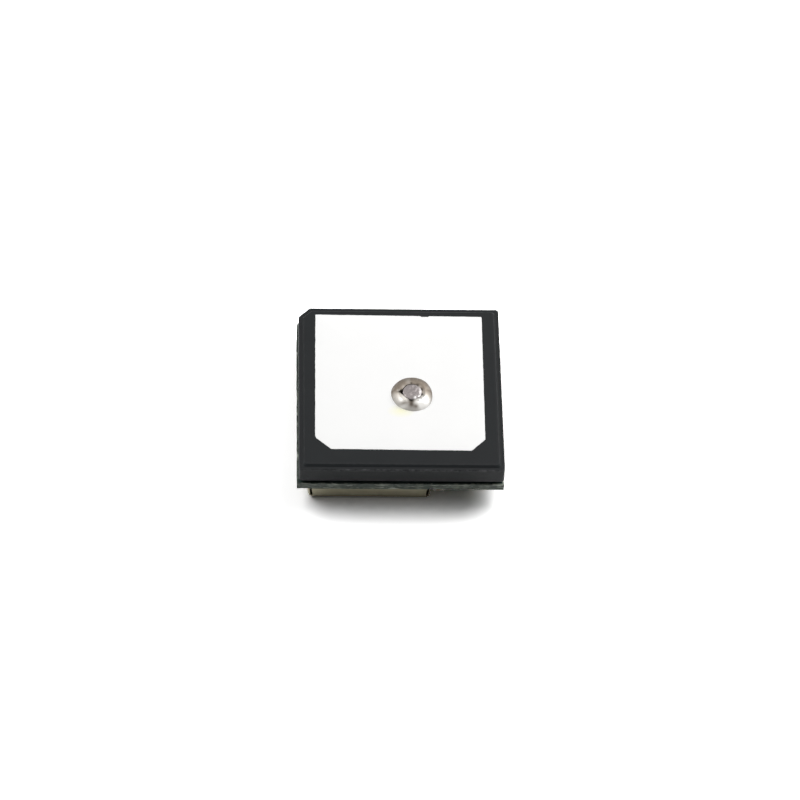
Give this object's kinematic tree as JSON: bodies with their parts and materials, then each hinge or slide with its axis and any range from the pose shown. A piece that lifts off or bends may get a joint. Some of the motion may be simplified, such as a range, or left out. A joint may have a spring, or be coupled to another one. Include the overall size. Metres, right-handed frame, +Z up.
{
  "type": "gps receiver module",
  "caption": "Square satellite receiver module: ceramic patch antenna with a soldered feed pin, on a thin circuit board with a sheet-metal shield can underneath.",
  "frame": {"origin": "middle of the board's outline, on the plane of the shield can's flat face that the module lies on", "axes": "+Z up through the antenna, +X to the right and -Y to the front edge, as the picture shows it"},
  "size_m": [0.0182, 0.0182, 0.0049],
  "materials": {
    "pressed_ceramic": "matte pressed and sintered",
    "fired_silver": "matte fired thick film",
    "solder": "bright solder with a dull skin",
    "pin_metal": "dull tinned pin",
    "tape": "black foam tape",
    "board_laminate": "green solder mask, rough cut edge",
    "tinned_copper": "tinned",
    "gold_plate": "immersion gold",
    "can_sheet": "rolled and tinned sheet",
    "mould_compound": "black moulding compound",
    "alumina": "pale fired ceramic",
    "capacitor_ceramic": "tan fired ceramic",
    "lid_metal": "seam-welded lid",
    "terminal_tin": "tin-plated ends"
  },
  "bodies": {
    "root": {"shield_can": "can_sheet", "ground_track": "tinned_copper", "circuit_board": "board_laminate", "wire_pads": "gold_plate", "adhesive_tape": "tape", "antenna_ceramic": "pressed_ceramic", "ground_electrode": "fired_silver", "patch_electrode": "fired_silver", "feed_pin": "pin_metal", "feed_solder": "solder", "pin_joint": "solder", "receiver_chip": "mould_compound", "flash_chip": "mould_compound", "amplifier_chip": "mould_compound", "saw_filter": "alumina", "oscillator_base": "alumina", "oscillator_lid": "lid_metal", "crystal_base": "alumina", "crystal_lid": "lid_metal", "power_inductor": "mould_compound", "power_inductor_ends": "terminal_tin", "capacitor_bodies": "capacitor_ceramic", "capacitor_ends": "terminal_tin", "resistor_bodies": "mould_compound", "resistor_ends": "terminal_tin", "coil_bodies": "alumina", "coil_ends": "terminal_tin", "supply_capacitor_bodies": "capacitor_ceramic", "supply_capacitor_ends": "terminal_tin", "regulator_body": "mould_compound", "regulator_leads": "terminal_tin"}
  },
  "joints": []
}
